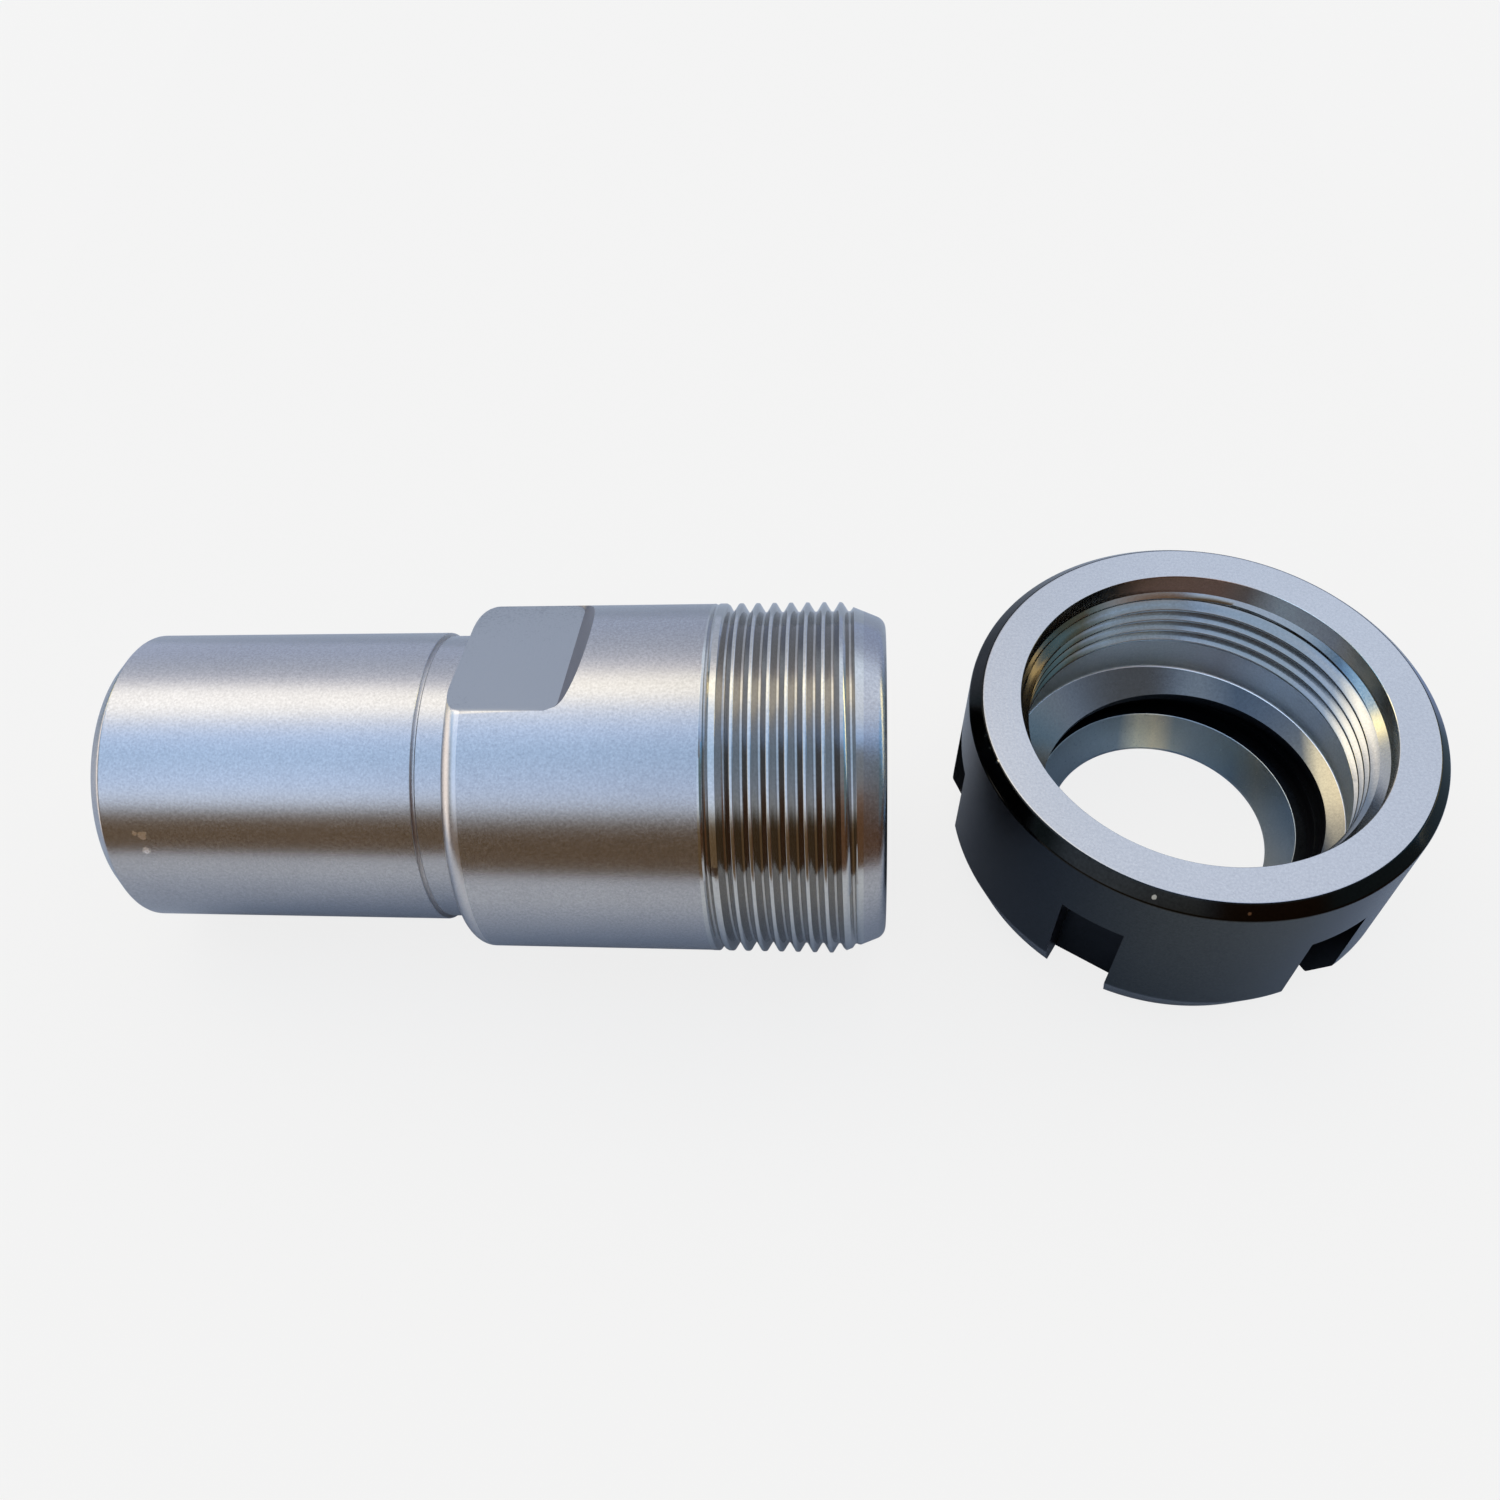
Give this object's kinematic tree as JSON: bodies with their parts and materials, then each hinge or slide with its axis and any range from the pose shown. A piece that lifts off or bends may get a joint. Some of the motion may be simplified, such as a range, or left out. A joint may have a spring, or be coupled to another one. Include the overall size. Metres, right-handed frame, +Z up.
{
  "type": "collet chuck",
  "caption": "Straight-shank collet chuck body with a fine external thread and wrench flats, and its slotted clamping nut lying beside it.",
  "frame": {"origin": "on the floor, under the middle of the bounding box of the body and the nut together", "axes": "+X along the body from its shank to its threaded nose, +Y away from the camera, +Z up"},
  "size_m": [0.1206, 0.0434, 0.0331],
  "materials": {
    "body_steel": "ground satin steel",
    "nut_steel": "blackened outer wall, bright turned face and bore"
  },
  "bodies": {
    "root": {"chuck_body": "body_steel", "clamping_nut": "nut_steel"}
  },
  "joints": []
}
